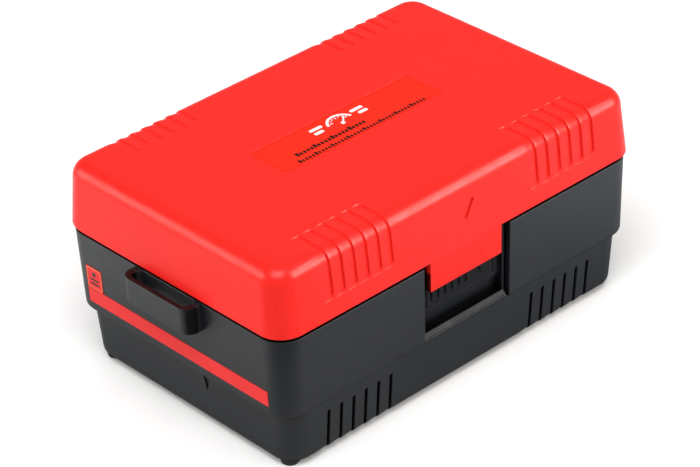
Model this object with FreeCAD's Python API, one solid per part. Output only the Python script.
import FreeCAD, Part
import math
import os
from FreeCAD import Vector as V

# Insulation resistance tester in a closed hard case, millimetres.
# Frame: origin at the centre of the footprint on the plane the feet stand on,
# +X along the long side, -Y is the front (release flap), +Z up.

os.makedirs("parts", exist_ok=True)

# ---------------------------------------------------------------- driving sizes
# Lid. HALF sizes are from the centre; the walls lean in by the draft towards the top.
LID_HALF_X, LID_HALF_Y = 75.0, 50.1    # at the lower edge
LID_BOTTOM, LID_TOP = 49.5, 71.0
LID_DRAFT_X, LID_DRAFT_Y = 1.74, 2.03
LID_CORNER, LID_CORNER_TOP = 8.5, 7.3  # plan corner radius, low and high
LID_FILLET = 5.2                       # top edge
LID_WALL = 2.2
LABEL_HALF = (33.0, 8.4)
LABEL_AT = (0.0, 0.9)

# Base: an upper band over a slightly smaller lower part
RIM_Z, LEDGE_Z, BASE_BOTTOM = 48.1, 20.35, 1.5
LOWER_TOP = LEDGE_Z + 1.0              # the lower part runs up into the band
RIM_X, RIM_Y = 74.5, 49.6              # band half size at the rim
LEDGE_X, LEDGE_Y = 73.96, 48.53        # band half size at the ledge
LOWER_X, LOWER_Y = 71.14, 48.03        # lower part half size at its top
BOTTOM_X, BOTTOM_Y = 70.72, 45.95      # lower part half size at the bottom
BASE_WALL, BASE_FLOOR = 2.4, 3.0
BASE_FILLET = 2.9                      # bottom edge
LIP_TOP = 50.3                         # inner lip of the base under the lid

# Hinge along the rear wall
HINGE_Y, HINGE_Z = 49.4, 49.2
PIN_RADIUS, KNUCKLE_RADIUS = 1.0, 2.6
LID_KNUCKLE = (36.3, 47.7)             # X range on the +X side
BASE_KNUCKLES = ((30.0, 36.0), (48.0, 54.0))

WINDOW_X0, WINDOW_X1 = -17.5, 18.8     # window of the release flap in the front wall

# Panel, board and what they carry
PANEL_BOTTOM, PANEL_TOP = 44.1, 46.5
PANEL_CUT = (40.0, 52.0)               # Z range of the cuts through the panel
BOARD_BOTTOM, BOARD_TOP = 34.0, 35.6
ON_BOARD = BOARD_TOP + 0.02
UNDER_BOARD = BOARD_BOTTOM - 0.05

KNOB = (36.0, -8.0)
KNOB_X, KNOB_Y = KNOB
TEST = (-44.0, -28.0)
LAMP = (-22.0, -27.0)
KEYS = [(-54.0, -8.0), (-40.0, -8.0), (-26.0, -8.0), (-12.0, -8.0)]
LCD = (-30.0, 20.0)
LCD_X, LCD_Y = 24.0, 16.0              # half size of the display opening
SOCKETS = {
    "line_socket": (12.0, 30.0),
    "guard_socket": (31.0, 30.0),
    "earth_socket": (50.0, 30.0),
}
CASE_SCREWS = [(-61.0, -36.5), (61.0, -36.5), (61.0, 36.5), (-61.0, 36.5)]
BOARD_SCREWS = [(-61.0, 2.0), (60.5, 2.0), (2.0, -32.5), (0.4, 38.0)]
FEET = [(-66.2, -40.6), (66.2, -40.6), (66.2, 40.6), (-66.2, 40.6)]

# Deep (+X) end of each grip tooth
LID_TEETH = [-53.1, -48.4, -43.6, -38.75, -33.9, -29.2,
             31.6, 36.5, 41.5, 46.4, 51.3, 56.2]
BASE_TEETH = [-55.3, -50.2, -45.2, -40.2, -35.1, -30.0,
              30.3, 35.3, 40.5, 45.4, 50.5, 55.5]

# Battery bay, opening downwards
BAY_X, BAY_Y, BAY_TOP, BAY_WALL = 53.9, 29.7, 18.9, 1.6
CELL_PITCH, CELL_Z = 14.6, 10.9
CELL_ROWS = [CELL_PITCH * (i - 1.5) for i in range(4)]
DOOR_AT = (3.5, 0.0)
DOOR_X, DOOR_Y = 60.5, 31.6            # half size
DOOR_GAP = 0.15
DOOR_SCREW = (59.5, 0.0)


# ---------------------------------------------------------------- helpers
def rounded_wire(half_x, half_y, radius, z, x=0.0, y=0.0):
    """Rounded rectangle around (x, y) at height z."""
    in_x, in_y = half_x - radius, half_y - radius
    arcs = []
    for dx, dy, start in ((in_x, in_y, 0), (-in_x, in_y, 90), (-in_x, -in_y, 180),
                          (in_x, -in_y, 270)):
        centre = V(x + dx, y + dy, z)
        angles = [math.radians(start + step) for step in (0, 45, 90)]
        arcs.append([centre + V(radius * math.cos(a), radius * math.sin(a), 0) for a in angles])
    edges = []
    for i, arc in enumerate(arcs):
        edges.append(Part.Arc(*arc).toShape())
        edges.append(Part.makeLine(arc[2], arcs[(i + 1) % 4][0]))
    return Part.Wire(edges)


def loft(*wires):
    return Part.makeLoft(list(wires), True, True)


def rounded_block(half_x, half_y, radius, z0, z1, x=0.0, y=0.0):
    face = Part.Face(rounded_wire(half_x, half_y, radius, z0, x, y))
    return face.extrude(V(0, 0, z1 - z0))


def box(x0, x1, y0, y1, z0, z1):
    return Part.makeBox(x1 - x0, y1 - y0, z1 - z0, V(x0, y0, z0))


def cylinder(radius, z0, z1, x, y):
    return Part.makeCylinder(radius, z1 - z0, V(x, y, z0), V(0, 0, 1))


def cylinder_x(radius, x0, x1, y, z):
    return Part.makeCylinder(radius, x1 - x0, V(x0, y, z), V(1, 0, 0))


def prism(corners, run):
    return Part.Face(Part.makePolygon(corners + corners[:1])).extrude(run)


def prism_x(yz, x0, x1):
    return prism([V(x0, y, z) for y, z in yz], V(x1 - x0, 0, 0))


def prism_y(xz, y0, y1):
    return prism([V(x, y0, z) for x, z in xz], V(0, y1 - y0, 0))


def prism_z(xy, z0, z1):
    return prism([V(x, y, z0) for x, y in xy], V(0, 0, z1 - z0))


def mirror_x(shape):
    return shape.mirror(V(0, 0, 0), V(1, 0, 0))


def mirror_y(shape):
    return shape.mirror(V(0, 0, 0), V(0, 1, 0))


def span(side, near, far):
    """X range on the +X side (side 1) or mirrored to the -X side (side -1)."""
    return (near, far) if side > 0 else (-far, -near)


def unit(vector):
    vector.normalize()
    return vector


def fillet_at(shape, z, radius):
    """Fillet every edge that lies flat at height z."""
    tol = 1e-3
    edges = [e for e in shape.Edges
             if abs(e.BoundBox.ZMin - z) < tol and abs(e.BoundBox.ZMax - z) < tol]
    return shape.makeFillet(radius, edges)


def end_circles(shape):
    return [e for e in shape.Edges if e.Closed]


def clean(shape):
    """Merge coplanar faces and unwrap a lone solid."""
    shape = shape.removeSplitter()
    if shape.ShapeType != "Solid" and len(shape.Solids) == 1:
        shape = shape.Solids[0]
    return shape


def sweep_round(points, radius):
    """Round wire along a smooth curve through the points."""
    curve = Part.BSplineCurve()
    curve.interpolate(points)
    tangent = curve.tangent(curve.FirstParameter)[0]
    profile = Part.Wire([Part.makeCircle(radius, points[0], tangent)])
    return Part.Wire([curve.toShape()]).makePipeShell([profile], True, True)


def spring(start, axis, length, turns, coil_radius, wire_radius):
    """Coil from start along axis; the wire ends lie inside the length."""
    side = V(1, 0, 0) if abs(axis.z) > 0.5 else V(0, 0, 1)
    other = axis.cross(side)
    steps = int(turns * 12)
    points = []
    for i in range(steps + 1):
        part = i / steps
        angle = 2 * math.pi * turns * part
        points.append(start + side * (coil_radius * math.cos(angle))
                      + other * (coil_radius * math.sin(angle))
                      + axis * (wire_radius + (length - 2 * wire_radius) * part))
    return sweep_round(points, wire_radius)


def line_arc_wire(before, arc_middle, after):
    """Closed wire: lines through before, an arc to after[0], lines through after."""
    edges = [Part.makeLine(a, b) for a, b in zip(before, before[1:])]
    edges.append(Part.Arc(before[-1], arc_middle, after[0]).toShape())
    edges += [Part.makeLine(a, b) for a, b in zip(after, after[1:] + before[:1])]
    return Part.Wire(edges)


def cross_screw(x, y, seat, radius, head_radius, head_height, length):
    """Screw with its head below the seat, its shank upwards and a cross slot."""
    bottom = seat - head_height
    head = cylinder(head_radius, bottom, seat, x, y)
    head = fillet_at(head, bottom, min(head_height * 0.6, 0.9))
    screw = head.fuse(cylinder(radius, seat - 0.1, seat + length, x, y))
    reach, half_slot = head_radius * 0.62, 0.3
    slot_z = (bottom - 1, seat - head_height * 0.45)
    return clean(screw.cut([box(x - reach, x + reach, y - half_slot, y + half_slot, *slot_z),
                            box(x - half_slot, x + half_slot, y - reach, y + reach, *slot_z)]))


def save(name, *shapes):
    """Write the solids of the shapes as one part file."""
    solids = [s for shape in shapes for s in shape.Solids]
    part = solids[0] if len(solids) == 1 else Part.makeCompound(solids)
    part.exportStep(os.path.join("parts", name + ".step"))


# ---------------------------------------------------------------- lid
def lid_front_y(z):
    """Y of the outer front face of the lid at height z."""
    return -LID_HALF_Y + LID_DRAFT_Y * (z - LID_BOTTOM) / (LID_TOP - LID_BOTTOM)


def lid_tooth_section(x, depth, top_y, low_z, run_out):
    """Cutter section that follows the lid's top edge at the given depth."""
    wall = unit(V(0, LID_DRAFT_Y, LID_TOP - LID_BOTTOM))
    inward = V(0, wall.z, -wall.y)
    centre_z = LID_TOP - LID_FILLET
    tangent_y = lid_front_y(centre_z - LID_FILLET * inward.z)
    centre = V(x, tangent_y + LID_FILLET * inward.y, centre_z)
    radius = LID_FILLET - depth
    overlap, front_y, above_z = 0.06, -58, 78
    run_z = low_z + run_out
    before = [V(x, top_y, LID_TOP + overlap),
              V(x, top_y - run_out, LID_TOP - depth),
              V(x, centre.y, LID_TOP - depth)]
    after = [centre - inward * radius,
             V(x, lid_front_y(run_z), run_z) + inward * depth,
             V(x, lid_front_y(low_z), low_z) - inward * overlap,
             V(x, front_y, low_z),
             V(x, front_y, above_z),
             V(x, top_y, above_z)]
    return line_arc_wire(before, centre + unit(V(0, 0, 1) - inward) * radius, after)


def lid_tooth(x1):
    """Saw tooth on the front edge: nothing at its -X end, full depth at x1."""
    depth, start_depth, width = 0.6, -0.05, 4.5
    x0, x_mid = x1 - width, x1 - 0.8
    mid_depth = start_depth + (depth - start_depth) * (x_mid - x0) / width
    return loft(lid_tooth_section(x0, start_depth, -35.8, 55.3, 0.05),
                lid_tooth_section(x_mid, mid_depth, -35.6, 55.4, 0.30),
                lid_tooth_section(x1, depth, -36.3, 56.3, 0.40))


def lid_hollow():
    half_x, half_y = LID_HALF_X - LID_WALL, LID_HALF_Y - LID_WALL
    corner, top = LID_CORNER - 1.9, LID_TOP - LID_WALL
    draft = (top - LID_BOTTOM) / (LID_TOP - LID_BOTTOM)
    hollow = loft(rounded_wire(half_x, half_y, corner, LID_BOTTOM - 0.001),
                  rounded_wire(half_x - LID_DRAFT_X * draft, half_y - LID_DRAFT_Y * draft,
                               LID_CORNER_TOP - 1.4, top))
    hollow = fillet_at(hollow, top, 3.2)
    return hollow.fuse(rounded_block(half_x, half_y, corner, LID_BOTTOM - 1.0, LID_BOTTOM))


def lid_tongue():
    """Tongue hanging from the front edge, with a catch ridge on its inner face."""
    outline = [(-LID_HALF_Y, LID_BOTTOM + 0.3), (-LID_HALF_Y + 0.02, LID_BOTTOM),
               (-49.75, 39.3), (-49.45, 38.9), (-48.2, 38.9), (-47.9, 39.2),
               (-47.9, LID_BOTTOM + 4), (-49.0, LID_BOTTOM + 4)]  # y, z
    ridge = [(-48.4, 39.6), (-46.95, 40.3), (-46.95, 41.3), (-48.4, 42.6)]  # y, z
    return prism_x(outline, -15.3, 14.6).fuse(prism_x(ridge, -9.0, 9.0))


def lid_mark():
    """Slanted mark cut in the front face above the tongue."""
    mark = box(-0.62, 0.62, -2.0, 0.6, -3.5, 3.5)
    mark = mark.makeFillet(0.60, [e for e in mark.Edges if e.BoundBox.YLength > 2])
    mark.rotate(V(0, 0, 0), V(0, 1, 0), 33)
    mark.rotate(V(0, 0, 0), V(1, 0, 0), -5.4)
    mark_z = 60.4
    mark.translate(V(2.1, lid_front_y(mark_z), mark_z))
    return mark


def add_lid_hinge(lid):
    # lift the rear lower edge, then clear the knuckles
    relief = [(36.0, LID_BOTTOM - 2), (36.0, LID_BOTTOM - 0.001), (40.0, LID_BOTTOM),
              (48.0, LID_BOTTOM + 0.7), (56.0, LID_BOTTOM + 0.7), (56.0, LID_BOTTOM - 2)]
    lid = lid.cut(prism_x(relief, -76, 76))
    for side in (-1, 1):
        ends = span(side, 29.7, 54.3)
        lid = lid.cut(cylinder_x(KNUCKLE_RADIUS + 0.3, *ends, HINGE_Y, HINGE_Z))
    arm = [(HINGE_Y - 1.45, HINGE_Z + 0.8), (HINGE_Y + 2.25, HINGE_Z + 1.3),
           (HINGE_Y + 0.1, HINGE_Z + 8.6), (HINGE_Y - 1.45, HINGE_Z + 8.6)]
    for side in (-1, 1):
        x0, x1 = span(side, *LID_KNUCKLE)
        lid = lid.fuse([cylinder_x(KNUCKLE_RADIUS, x0, x1, HINGE_Y, HINGE_Z),
                        prism_x(arm, x0, x1)])
        lid = lid.cut(cylinder_x(PIN_RADIUS + 0.06, x0 - 1, x1 + 1, HINGE_Y, HINGE_Z))
    return lid


def lid_shell():
    lid = loft(rounded_wire(LID_HALF_X, LID_HALF_Y, LID_CORNER, LID_BOTTOM),
               rounded_wire(LID_HALF_X - LID_DRAFT_X, LID_HALF_Y - LID_DRAFT_Y,
                            LID_CORNER_TOP, LID_TOP))
    lid = fillet_at(lid, LID_TOP, LID_FILLET)
    lid = lid.cut(lid_hollow())
    lid = lid.fuse(lid_tongue())
    teeth = []
    for x in LID_TEETH:
        tooth = lid_tooth(x)
        teeth += [tooth, mirror_y(tooth)]
    lid = lid.cut(teeth)
    lid = lid.cut(lid_mark())
    # shallow seat of the label
    lid = lid.cut(rounded_block(LABEL_HALF[0] + 0.08, LABEL_HALF[1] + 0.08, 1.5,
                                LID_TOP - 0.22, LID_TOP + 1, *LABEL_AT))
    return clean(add_lid_hinge(lid))


save("lid_shell", lid_shell())
save("lid_label", rounded_block(*LABEL_HALF, 1.4, LID_TOP - 0.21, LID_TOP - 0.05, *LABEL_AT))
LID_CEILING = LID_TOP - LID_WALL
save("lid_card", rounded_block(58, 33, 3, LID_CEILING - 0.32, LID_CEILING - 0.02, 0, 2))


# ---------------------------------------------------------------- base case
def upper_band(offset=0.0):
    """Outer body of the upper band, grown sideways by offset."""
    return loft(rounded_wire(LEDGE_X + offset, LEDGE_Y + offset, 8.2 + offset, LEDGE_Z),
                rounded_wire(RIM_X + offset, RIM_Y + offset, 8.6 + offset, RIM_Z))


def base_walls():
    upper = fillet_at(upper_band(), LEDGE_Z, 1.6)
    lower = loft(rounded_wire(BOTTOM_X, BOTTOM_Y, 7.6, BASE_BOTTOM),
                 rounded_wire(LOWER_X, LOWER_Y, 7.8, LOWER_TOP))
    lower = fillet_at(lower, BASE_BOTTOM, BASE_FILLET)
    floor = BASE_BOTTOM + BASE_FLOOR
    low_hollow = loft(rounded_wire(68.2, 43.3, 5.4, floor), rounded_wire(68.6, 45.3, 5.5, 21.3))
    low_hollow = fillet_at(low_hollow, floor, 1.5)
    high_hollow = loft(rounded_wire(71.3, 46.1, 6.0, 22.9),
                       rounded_wire(RIM_X - BASE_WALL, RIM_Y - BASE_WALL, 6.4, RIM_Z + 3))
    mid_hollow = rounded_block(68.6, 45.3, 5.5, 21.0, 23.5)
    return upper.fuse(lower).cut([low_hollow, mid_hollow, high_hollow])


def inner_lip():
    """Lip that closes the gap under the lid."""
    inside = (70.95, 46.05, 5.6)  # half x, half y, corner radius
    lip = rounded_block(72.25, 47.35, 6.6, 43.6, LIP_TOP)
    lip = lip.cut(loft(rounded_wire(71.9, 47.0, 6.3, 43.5), rounded_wire(*inside, 45.2)))
    return lip.cut(rounded_block(*inside, 45.1, LIP_TOP + 1))


def add_latch_well(base):
    """Walled well behind the front wall, open to the front for the release flap."""
    base = base.fuse(box(WINDOW_X0 - 2.0, WINDOW_X1 + 2.0, -47.2, -39.6, 19.2, RIM_Z))
    base = base.cut([box(WINDOW_X0, WINDOW_X1, -53.0, -41.3, 22.2, 55.0),
                     box(WINDOW_X0, WINDOW_X1, -45.9, -41.3, 21.4, 23.0),
                     box(17.4, WINDOW_X1, -53.0, -45.0, 21.0, 24.0)])
    sill = [(-48.62, 22.21), (-45.0, 21.75), (-45.0, 23.0), (-50.0, 23.0), (-50.0, 22.21)]
    return base.cut(prism_x(sill, WINDOW_X0, WINDOW_X1))


def add_strap_loops(base):
    """Slotted loops on both short walls."""
    loop = rounded_block(4.6, 15.2, 3.9, 38.8, 48.0, -76.0, 0.0)
    outer_low = [e for e in loop.Edges
                 if e.BoundBox.ZLength < 0.01 and e.BoundBox.XMin < -74.5
                 and e.BoundBox.ZMin < 40 and e.BoundBox.YLength > 2]
    loop = loop.makeFillet(0.7, outer_low)
    loop = loop.common(box(-90, -73.2, -20, 20, 30, 60))
    slot = rounded_block(2.2, 12.6, 1.7, 36.0, 50.0, -76.8, 0.0)
    base = base.fuse(loop).cut(slot)
    return base.fuse(mirror_x(loop)).cut(mirror_x(slot))


def lower_front_y(z):
    """Y of the outer front face of the lower part at height z."""
    return -(BOTTOM_Y + (LOWER_Y - BOTTOM_Y) * (z - BASE_BOTTOM) / (LOWER_TOP - BASE_BOTTOM))


def base_tooth_section(x, depth, top_z, run_out):
    """Cutter section that follows the bottom edge, moved inwards by depth."""
    wall = unit(V(0, BOTTOM_Y - LOWER_Y, LOWER_TOP - BASE_BOTTOM))
    inward = V(0, wall.z, -wall.y)
    centre_z = BASE_BOTTOM + BASE_FILLET
    tangent_y = lower_front_y(centre_z - BASE_FILLET * inward.z)
    centre = V(x, tangent_y + BASE_FILLET * inward.y + depth, centre_z)
    front_y, below_z = -58, 0.2
    before = [V(x, lower_front_y(top_z) - 0.06, top_z),
              V(x, lower_front_y(top_z - run_out) + depth, top_z - run_out),
              centre - inward * BASE_FILLET]
    after = [centre - V(0, 0, BASE_FILLET),
             V(x, centre.y, below_z),
             V(x, front_y, below_z),
             V(x, front_y, top_z)]
    arc_middle = centre + unit(V(0, 0, -1) - inward) * BASE_FILLET
    return line_arc_wire(before, arc_middle, after)


def base_tooth(x1):
    """Shallow ramp that ends in a deep groove at x1, on the front."""
    groove_depth = 1.55
    ramp = loft(base_tooth_section(x1 - 4.7, -0.04, 16.2, 0.1),
                base_tooth_section(x1 - 0.4, 0.38, 16.5, 0.4))
    groove = loft(base_tooth_section(x1 - 0.95, groove_depth, 16.6, 0.5),
                  base_tooth_section(x1, groove_depth, 16.6, 0.5))
    return ramp, groove


def add_battery_bay(base):
    base = base.fuse(box(-BAY_X - BAY_WALL, BAY_X + BAY_WALL, -BAY_Y - BAY_WALL,
                         BAY_Y + BAY_WALL, BASE_BOTTOM + 2.5, BAY_TOP + BAY_WALL))
    base = base.cut([box(-BAY_X, BAY_X, -BAY_Y, BAY_Y, 0, BAY_TOP),
                     rounded_block(DOOR_X + DOOR_GAP, DOOR_Y + DOOR_GAP, 2.6,
                                   0, 3.4, *DOOR_AT)])
    # slots for the plate lugs
    for y in (-22.0, 22.0):
        base = base.cut(box(BAY_X - 0.5, BAY_X + 2.5, y - 1.8, y + 1.8, 11.6, 12.9))
    # boss of the door screw
    base = base.fuse(cylinder(3.2, 3.4, 12.5, *DOOR_SCREW))
    return base.cut(cylinder(1.27, 3.0, 11.5, *DOOR_SCREW))


def add_base_hinge(base):
    knuckle_z = (HINGE_Z, HINGE_Z + 4)
    for side in (-1, 1):
        ends = span(side, 36.0, 48.0)
        base = base.cut(cylinder_x(KNUCKLE_RADIUS + 0.3, *ends, HINGE_Y, HINGE_Z))
        base = base.cut(box(*ends, HINGE_Y - 3.1, HINGE_Y + 4, *knuckle_z))
    gusset = [(HINGE_Y - 2.6, HINGE_Z + 0.2), (HINGE_Y, HINGE_Z + 0.2),
              (HINGE_Y + 1.84, HINGE_Z - 1.84), (HINGE_Y - 0.25, HINGE_Z - 8.5),
              (HINGE_Y - 2.6, HINGE_Z - 8.5)]
    for side in (-1, 1):
        for near, far in BASE_KNUCKLES:
            ends = span(side, near, far)
            base = base.fuse([cylinder_x(KNUCKLE_RADIUS, *ends, HINGE_Y, HINGE_Z),
                              prism_x(gusset, *ends)])
        bore = span(side, 29.0, 55.0)
        base = base.cut(cylinder_x(PIN_RADIUS + 0.012, *bore, HINGE_Y, HINGE_Z))
    return base


def base_case():
    base = base_walls().fuse(inner_lip())
    base = add_latch_well(base)
    base = add_strap_loops(base)
    teeth = []
    for x in BASE_TEETH:
        for tooth in base_tooth(x):
            teeth += [tooth, mirror_y(tooth)]
    base = base.cut(teeth)
    # small recessed arrow on the left lower wall
    base = base.cut(prism_x([(-8.6, 18.0), (-11.7, 17.2), (-9.6, 13.0)], -72.5, -70.45))
    base = add_battery_bay(base)
    # case screw bosses, open from below
    for x, y in CASE_SCREWS:
        base = base.fuse(cylinder(4.6, BASE_BOTTOM + 1, 24.0, x, y))
    for x, y in CASE_SCREWS:
        base = base.cut([cylinder(3.2, 0, 19.5, x, y), cylinder(1.7, 19.0, 25.0, x, y)])
    # seats of the feet
    for x, y in FEET:
        base = base.cut(cylinder(3.05, 0, 2.9, x, y))
    return clean(add_base_hinge(base))


def hinge_pin(side):
    pin = cylinder_x(PIN_RADIUS, *span(side, 30.15, 53.85), HINGE_Y, HINGE_Z)
    return pin.makeChamfer(0.2, end_circles(pin))


save("base_case", base_case())
save("hinge_pins", hinge_pin(-1), hinge_pin(1))

# thin printed stripe and square mark on the left wall
print_skin = upper_band(0.14).cut(upper_band(0.012))
save("side_stripe", clean(print_skin.common(box(-80, -60, -41.8, 40.6, 24.25, 29.5))))
save("side_mark", clean(print_skin.common(box(-80, -60, 33.4, 40.6, 29.65, 37.5))))


# ---------------------------------------------------------------- release flap
def release_flap():
    x0, x1 = -16.6, 17.5  # outer faces of the cheeks
    cheek = 0.75
    # side outlines as (y, z)
    hull = [(-47.30, 22.45), (-47.36, 24.0), (-48.10, 47.3), (-43.7, 47.3),
            (-43.6, 46.3), (-43.6, 23.2), (-44.3, 22.45)]
    tray = [(-47.75, 23.3), (-45.0, 23.3), (-45.0, 28.3), (-45.75, 28.6), (-45.75, 29.9),
            (-46.3, 30.2), (-46.3, 50.0), (-52.0, 50.0), (-52.0, 23.3)]
    foot = [(-48.52, 22.32), (-48.52, 22.50), (-47.40, 23.72), (-46.95, 23.72),
            (-46.6, 23.3), (-46.0, 23.3), (-46.0, 22.32)]
    flap = prism_x(hull, x0, x1).cut(prism_x(tray, x0 + cheek, x1 - cheek))
    # bar along the bottom with a chamfered front
    flap = flap.fuse(prism_x(foot, WINDOW_X0 + 0.22, 17.2))
    # frame line cut round the pad
    frame = box(-14.35, 14.35, -46.6, -46.02, 31.0, 46.0)
    flap = flap.cut(frame.cut(box(-13.95, 13.95, -47.0, -45.5, 31.4, 45.6)))
    # raised grip bars and an arrow head on the pad
    raised_y = (-46.72, -46.2)
    raised = [box(x - 0.45, x + 0.45, *raised_y, 33.0, 40.5)
              for x in (-11.5, -8.6, -5.7, -2.8, 0.1, 3.0)]
    raised.append(prism_y([(6.0, 40.6), (12.2, 40.6), (9.1, 33.4)], *raised_y))
    return clean(flap.fuse(raised))


save("release_flap", release_flap())


# ---------------------------------------------------------------- front panel
def front_panel():
    panel = rounded_block(70.6, 45.7, 5.2, PANEL_BOTTOM, PANEL_TOP)
    panel = fillet_at(panel, PANEL_TOP, 0.6)
    # clearance round the latch well
    panel = panel.cut(box(WINDOW_X0 - 2.7, WINDOW_X1 + 2.7, -60, -38.9, 40, 50))
    root = PANEL_BOTTOM + 0.5
    for x, y in CASE_SCREWS:
        panel = panel.fuse(cylinder(3.4, 24.05, root, x, y))
    for x, y in BOARD_SCREWS:
        panel = panel.fuse(cylinder(2.6, ON_BOARD, root, x, y))
    # ring under the selector, then collars on top
    ring = cylinder(16.4, 37.7, root, *KNOB).cut(cylinder(14.4, 37.0, PANEL_BOTTOM, *KNOB))
    panel = panel.fuse(ring)
    panel = panel.fuse(cylinder(12.2, PANEL_BOTTOM, 48.4, *TEST))
    for x, y in SOCKETS.values():
        panel = panel.fuse(cylinder(8.0, PANEL_BOTTOM, 47.8, x, y))
    panel = panel.fuse(rounded_block(LCD_X + 3.2, LCD_Y + 3.2, 2.6, PANEL_BOTTOM, 47.5, *LCD))

    cuts = [rounded_block(LCD_X, LCD_Y, 1.5, *PANEL_CUT, *LCD),
            rounded_block(LCD_X + 1.3, LCD_Y + 1.3, 1.8, 45.7, 52, *LCD)]
    cuts += [cylinder(radius, *PANEL_CUT, *place)
             for radius, place in ((6.0, KNOB), (10.0, TEST), (2.6, LAMP))]
    # detent notches inside the ring
    for i in range(12):
        angle = math.radians(30 * i)
        cuts.append(cylinder(1.3, 37.0, 42.0, KNOB_X + 14.6 * math.cos(angle),
                             KNOB_Y + 14.6 * math.sin(angle)))
    cuts += [rounded_block(5.1, 3.35, 1.2, *PANEL_CUT, x, y) for x, y in KEYS]
    cuts += [cylinder(6.35, *PANEL_CUT, x, y) for x, y in SOCKETS.values()]
    cuts += [cylinder(1.46, 20, 34.5, x, y) for x, y in CASE_SCREWS]
    cuts += [cylinder(1.05, 30, 42.5, x, y) for x, y in BOARD_SCREWS]
    return clean(panel.cut(cuts))


def panel_overlay():
    """Thin printed sheet on the panel."""
    sheet = rounded_block(68.6, 43.7, 4.0, PANEL_TOP + 0.012, PANEL_TOP + 0.27)
    cuts = [box(WINDOW_X0 - 3.9, WINDOW_X1 + 3.9, -60, -37.6, 40, 50),
            rounded_block(LCD_X + 3.5, LCD_Y + 3.5, 2.9, *PANEL_CUT, *LCD)]
    cuts += [cylinder(radius, *PANEL_CUT, *place)
             for radius, place in ((6.6, KNOB), (12.5, TEST), (3.2, LAMP))]
    cuts += [cylinder(8.3, *PANEL_CUT, x, y) for x, y in SOCKETS.values()]
    cuts += [rounded_block(5.5, 3.75, 1.6, *PANEL_CUT, x, y) for x, y in KEYS]
    return clean(sheet.cut(cuts))


save("front_panel", front_panel())
save("panel_overlay", panel_overlay())


# ---------------------------------------------------------------- display stack
def lcd_glass():
    lower = rounded_block(26.0, 18.0, 0.6, 41.1, 42.4, *LCD)
    return clean(lower.fuse(rounded_block(26.0, 16.6, 0.6, 42.4, 43.6, *LCD)))


def lcd_frame():
    frame = rounded_block(27.2, 19.4, 1.2, BOARD_TOP + 0.05, 43.9, *LCD)
    return clean(frame.cut(rounded_block(26.12, 18.12, 0.7, 30, 50, *LCD)))


def contact_strip(side):
    x, y = LCD[0], LCD[1] + side * 16.4
    return box(x - 24, x + 24, y - 1.0, y + 1.0, BOARD_TOP + 0.05, 41.05)


save("display_window", rounded_block(LCD_X + 1.2, LCD_Y + 1.2, 1.7, 45.72, 47.2, *LCD))
save("lcd_glass", lcd_glass())
save("lcd_backlight", rounded_block(24.0, 14.4, 1.0, 38.1, 41.0, *LCD))
save("lcd_frame", lcd_frame())
save("contact_strips", contact_strip(-1), contact_strip(1))


# ---------------------------------------------------------------- main board, screws
def main_board():
    outline = [(-65.5, -37.9), (65.5, -37.9), (65.5, 21.8), (5.2, 21.8),
               (5.2, 41.5), (-65.5, 41.5)]  # x, y
    board = prism_z(outline, BOARD_BOTTOM, BOARD_TOP)
    board = board.cut([cylinder(4.0, 30, 40, x, y) for x, y in CASE_SCREWS]
                      + [cylinder(1.25, 30, 40, x, y) for x, y in BOARD_SCREWS])
    # open the screw clearances to the corners; the board does not reach +X +Y
    notches = []
    for x, y in CASE_SCREWS:
        if x < 0 or y < 0:
            notches.append(box(*sorted((x, x + math.copysign(9, x))),
                               *sorted((y, y * 1.3)), 30, 40))
    return clean(board.cut(notches))


save("main_board", main_board())
save("case_screws", *[cross_screw(x, y, seat=19.48, radius=1.45, head_radius=2.75,
                                  head_height=2.0, length=13.5) for x, y in CASE_SCREWS])
save("board_screws", *[cross_screw(x, y, seat=BOARD_BOTTOM - 0.02, radius=1.04, head_radius=2.0,
                                   head_height=1.5, length=7.5) for x, y in BOARD_SCREWS])

# ---------------------------------------------------------------- selector
BALL_Z = 39.4


def d_shaft(radius, z0, z1, flat_z0):
    """Round shaft on the knob axis with a flat on its +X side from flat_z0 up."""
    flat = box(KNOB_X + radius - 0.8, KNOB_X + 6, KNOB_Y - 6, KNOB_Y + 6, flat_z0, 60)
    return cylinder(radius, z0, z1, *KNOB).cut(flat)


def selector_knob():
    knob = fillet_at(cylinder(18.0, 47.0, 49.6, *KNOB), 49.6, 0.7)
    # flutes round the skirt
    for i in range(24):
        angle = math.radians(15 * i + 7.5)
        knob = knob.cut(cylinder(0.8, 46, 52, KNOB_X + 18.35 * math.cos(angle),
                                 KNOB_Y + 18.35 * math.sin(angle)))
    grip = loft(rounded_wire(16.2, 4.6, 4.4, 49.2, *KNOB),
                rounded_wire(15.0, 3.5, 3.3, 58.5, *KNOB))
    grip = fillet_at(grip, 58.5, 1.2)
    waist = fillet_at(cylinder(8.2, 49.2, 51.4, *KNOB), 51.4, 1.4)
    knob = knob.fuse([grip, waist, cylinder(5.95, 43.2, 47.5, *KNOB)])
    knob = knob.cut(d_shaft(3.52, 40, 53.0, 38))
    # groove of the pointer
    return clean(knob.cut(box(KNOB_X - 15.6, KNOB_X - 5.0, KNOB_Y - 0.55, KNOB_Y + 0.55,
                              58.0, 60.0)))


def switch_rotor():
    rotor = cylinder(12.0, 37.3, 41.5, *KNOB).fuse(cylinder(5.5, 41.5, 43.0, *KNOB))
    rotor = rotor.fuse(d_shaft(3.48, 42.0, 52.8, 43.1))
    for side in (-1, 1):
        start = V(KNOB_X + side * 6.6, KNOB_Y, BALL_Z)
        rotor = rotor.cut(Part.makeCylinder(1.56, 6.0, start, V(side, 0, 0)))
    return clean(rotor)


def detent_spring(side):
    return spring(V(KNOB_X + side * 6.75, KNOB_Y, BALL_Z), V(side, 0, 0),
                  length=4.3, turns=5, coil_radius=1.1, wire_radius=0.2)


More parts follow.
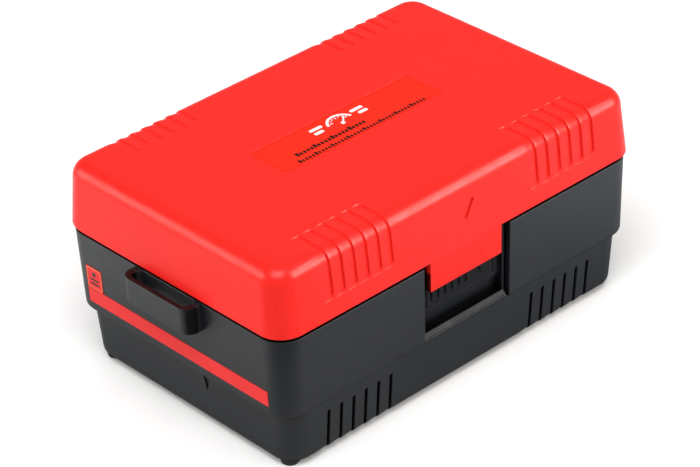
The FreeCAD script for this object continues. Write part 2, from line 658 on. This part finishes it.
def wiper_contact(angle):
    outline = [(-1.6, 37.25), (-1.6, 36.9), (0.8, 35.95), (2.2, 35.68), (2.6, 35.68),
               (2.6, 35.95), (1.0, 36.35), (-0.9, 37.05), (-0.9, 37.25)]  # y, z
    wiper = prism_x(outline, 7.0, 9.4)
    wiper.rotate(V(0, 0, 0), V(0, 0, 1), angle)
    wiper.translate(V(KNOB_X, KNOB_Y, 0))
    return wiper


save("selector_knob", selector_knob())
save("knob_pointer", rounded_block(5.25, 0.5, 0.45, 58.02, 58.62, KNOB_X - 10.3, KNOB_Y))
save("switch_rotor", switch_rotor())
save("detent_balls", *[Part.makeSphere(1.5, V(KNOB_X + side * 12.75, KNOB_Y, BALL_Z))
                       for side in (-1, 1)])
save("detent_springs", detent_spring(-1), detent_spring(1))
save("wiper_contacts", *[wiper_contact(angle) for angle in (30, 150, 270)])


# ---------------------------------------------------------------- test button
def test_plunger():
    flange = cylinder(11.2, 42.6, 43.9, *TEST)
    return clean(flange.fuse([cylinder(9.7, 43.5, 46.3, *TEST),
                              cylinder(3.0, 46.0, 48.6, *TEST),
                              cylinder(1.5, 42.2, 43.0, *TEST)]))


def test_cap():
    """Round cap with a raised bar left across its top."""
    x, y = TEST
    cap = fillet_at(cylinder(9.9, 46.4, 52.0, x, y), 52.0, 1.5)
    cap = cap.cut([box(x - 12, x + 12, y + 2.6, y + 12, 50.3, 54),
                   box(x - 12, x + 12, y - 12, y - 2.6, 50.3, 54)])
    return clean(cap.cut(cylinder(3.05, 46.0, 48.7, x, y)))


def test_switch():
    x, y = TEST
    body = box(x - 6.2, x + 6.2, y - 6.2, y + 6.2, ON_BOARD, 38.8)
    return clean(body.fuse(cylinder(1.6, 38.5, 39.6, x, y)))


save("test_plunger", test_plunger())
save("test_cap", test_cap())
save("test_spring", spring(V(*TEST, 38.85), V(0, 0, 1), length=3.73, turns=2.5,
                           coil_radius=4.4, wire_radius=0.35))
save("test_switch", test_switch())


# ---------------------------------------------------------------- keys and lamp
def key(x, y):
    cap = fillet_at(rounded_block(5.0, 3.25, 1.1, 43.5, 48.2, x, y), 48.2, 0.7)
    return clean(cap.fuse(rounded_block(5.7, 3.95, 1.3, 43.0, 43.9, x, y)))


def key_mat():
    mat = rounded_block(29.5, 6.5, 1.5, BOARD_TOP + 0.03, 36.8, -33.0, -8.0)
    for x, y in KEYS:
        dome = Part.makeCone(4.4, 3.0, 3.0, V(x, y, 36.5), V(0, 0, 1))
        mat = mat.fuse([dome, cylinder(2.4, 39.0, 42.1, x, y)])
    return clean(mat)


def warning_lamp():
    x, y = LAMP
    lamp = cylinder(2.9, 37.6, 38.6, x, y)
    return clean(lamp.fuse([cylinder(2.5, 38.0, 46.6, x, y),
                            Part.makeSphere(2.5, V(x, y, 46.6)),
                            cylinder(0.25, ON_BOARD, 38.0, x - 1.27, y),
                            cylinder(0.25, ON_BOARD, 38.0, x + 1.27, y)]))


for i, place in enumerate(KEYS, 1):
    save("key_%d" % i, key(*place))
save("key_mat", key_mat())
save("warning_lamp", warning_lamp())


# ---------------------------------------------------------------- sockets
def socket(x, y):
    body = cylinder(6.3, 30.0, 46.0, x, y).fuse(cylinder(7.7, 47.85, 49.0, x, y))
    body = body.fuse(cylinder(6.3, 46.0, 48.2, x, y))
    return clean(body.cut([cylinder(5.2, 32.0, 50.0, x, y), cylinder(2.92, 29.0, 33.0, x, y)]))


def socket_contact(x, y):
    """Tube with a lug that runs to the front and up to the board."""
    tube = cylinder(2.9, 27.0, 46.6, x, y).cut(cylinder(2.0, 26.0, 47.0, x, y))
    lug = box(x - 1.5, x + 1.5, 19.0, y - 2.4, 28.0, 28.8)
    lug = lug.fuse(box(x - 1.5, x + 1.5, 19.0, 19.8, 28.0, BOARD_BOTTOM - 0.04))
    return clean(tube.fuse(lug))


for name, place in SOCKETS.items():
    save(name, socket(*place))
save("socket_contacts", *[socket_contact(*place) for place in SOCKETS.values()])

# ---------------------------------------------------------------- parts on the board
FUSE_X0, FUSE_X1 = 24.0, 44.0
FUSE_AXIS = (15.6, 39.2)  # y, z


def fuse_link():
    cap = cylinder_x(2.55, FUSE_X0, FUSE_X0 + 5.5, *FUSE_AXIS)
    return clean(cap.fuse([cylinder_x(2.35, FUSE_X0 + 5, FUSE_X1 - 5, *FUSE_AXIS),
                           cylinder_x(2.55, FUSE_X1 - 5.5, FUSE_X1, *FUSE_AXIS)]))


def fuse_clip(x):
    y, z = FUSE_AXIS
    clip = cylinder_x(2.95, x, x + 4.0, y, z).cut(cylinder_x(2.6, x - 1, x + 5, y, z))
    clip = clip.cut(box(x - 1, x + 5, y - 1.9, y + 1.9, z + 0.5, z + 6))
    return clean(clip.fuse(box(x, x + 4.0, y - 0.8, y + 0.8, ON_BOARD, 36.55)))


def resistor(x):
    z = 37.0
    body = Part.makeCylinder(1.1, 6.2, V(x, 12.4, z), V(0, 1, 0))
    body = body.makeFillet(0.4, end_circles(body))
    lead = Part.makeCylinder(0.3, 9.6, V(x, 10.7, z), V(0, 1, 0))
    legs = [cylinder(0.3, ON_BOARD, z + 0.05, x, y) for y in (10.9, 20.1)]
    return clean(body.fuse([lead] + legs))


save("fuse_link", fuse_link())
save("fuse_clips", fuse_clip(FUSE_X0 + 1.0), fuse_clip(FUSE_X1 - 5.0))
save("range_resistors", *[resistor(48.0 + 3.4 * i) for i in range(5)])
save("control_chips",
     rounded_block(6.0, 6.0, 0.4, BOARD_TOP + 0.05, 37.1, *LCD),
     rounded_block(4.5, 3.2, 0.3, 32.3, BOARD_BOTTOM - 0.03, -34.0, -20.0))

# ---------------------------------------------------------------- parts under the board
TRANSFORMER = (24.0, -12.0)
BUZZER = (-42.0, 14.0)


def transformer_core():
    x, y = TRANSFORMER
    core = box(x - 12, x + 12, y - 9, y + 9, 21.9, 33.7)
    return clean(core.cut([box(x - 9.4, x - 3.4, y - 10, y + 10, 24.4, 31.2),
                           box(x + 3.4, x + 9.4, y - 10, y + 10, 24.4, 31.2)]))


def transformer_winding():
    winding = rounded_block(9.2, 14.8, 3.0, 24.6, 31.0, *TRANSFORMER)
    return clean(winding.cut(rounded_block(3.5, 9.1, 0.15, 20, 40, *TRANSFORMER)))


def buzzer():
    body = cylinder(7.0, 25.6, UNDER_BOARD, *BUZZER)
    return clean(body.cut(cylinder(1.2, 25.0, 27.5, *BUZZER)))


save("transformer_core", transformer_core())
save("transformer_winding", transformer_winding())
save("reservoir_capacitors", *[cylinder(4.9, 22.4, UNDER_BOARD, x, y)
                               for x, y in ((-6.0, 12.0), (-6.0, 23.0), (-17.5, 12.0))])
save("relay", rounded_block(9.8, 5.0, 0.5, 23.6, UNDER_BOARD, 47.5, 9.5))
save("buzzer", buzzer())

# ---------------------------------------------------------------- battery
PLATE_FACE = BAY_X - 0.05  # |x| of the plates' outer faces


def cell(x, y):
    """Cell from x towards +X, terminal at its +X end."""
    body = cylinder_x(7.1, x, x + 48.5, y, CELL_Z)
    body = body.makeFillet(0.6, end_circles(body))
    return clean(body.fuse(cylinder_x(2.7, x + 48.0, x + 49.8, y, CELL_Z)))


def plate(x0, x1, y0, y1):
    return box(x0, x1, y0, y1, 5.5, 16.3)


def lug_plate(y):
    """Plate for one row on the +X side, with a lug out through the bay wall."""
    lug = box(53.5, 58.6, y - 1.5, y + 1.5, 12.0, 12.4)
    return clean(plate(53.5, PLATE_FACE, y - 4.6, y + 4.6).fuse(lug))


def battery_door():
    door = rounded_block(DOOR_X, DOOR_Y, 2.5, 1.55, 3.3, *DOOR_AT)
    rib = rounded_block(52.6, 28.4, 2.0, 3.2, 3.75)
    door = door.fuse(rib.cut(rounded_block(51.2, 27.0, 1.2, 3.0, 5.0)))
    door = door.cut([cylinder(1.6, 0, 5, *DOOR_SCREW), cylinder(2.9, 0, 2.85, *DOOR_SCREW)])
    # grip grooves on the underside
    for i in range(5):
        x = -54.0 + 3.2 * i
        door = door.cut(box(x, x + 1.4, -9.0, 9.0, 1.0, 2.05))
    return clean(door)


def battery_wire(y):
    """Wire from a plate lug up to the board, leaning towards the centre."""
    side = math.copysign(1, y)
    return sweep_round([V(57.5, y, 13.25), V(57.8, y, 17.0), V(58.6, y - 1.6 * side, 24.0),
                        V(57.2, y - 3.4 * side, 30.0), V(57.0, y - 3.6 * side, 33.9)], 0.75)


cells, springs = [], []
for i, y in enumerate(CELL_ROWS):
    # every second row is turned round
    flipped = i % 2 == 1
    for x in (-46.3, 3.65):
        cells.append(mirror_x(cell(x, y)) if flipped else cell(x, y))
    side = -1 if flipped else 1
    springs.append(spring(V(-53.38 * side, y, CELL_Z), V(side, 0, 0), length=6.95, turns=4,
                          coil_radius=3.6, wire_radius=0.38))
save("battery_cells", *cells)
save("battery_springs", *springs)
save("battery_plates",
     plate(-PLATE_FACE, -53.45, -26.5, -2.7),
     plate(-PLATE_FACE, -53.45, 2.7, 26.5),
     plate(53.5, PLATE_FACE, -12.0, 12.0),
     lug_plate(CELL_ROWS[0]),
     lug_plate(CELL_ROWS[-1]))
save("battery_door", battery_door())
save("door_screw", cross_screw(*DOOR_SCREW, seat=2.83, radius=1.25, head_radius=2.7,
                               head_height=1.1, length=7.6))
save("battery_wire_red", battery_wire(CELL_ROWS[0]))
save("battery_wire_black", battery_wire(CELL_ROWS[-1]))

# ---------------------------------------------------------------- feet
save("rubber_feet", *[fillet_at(cylinder(3.0, 0.0, 2.88, x, y), 0.0, 0.9) for x, y in FEET])
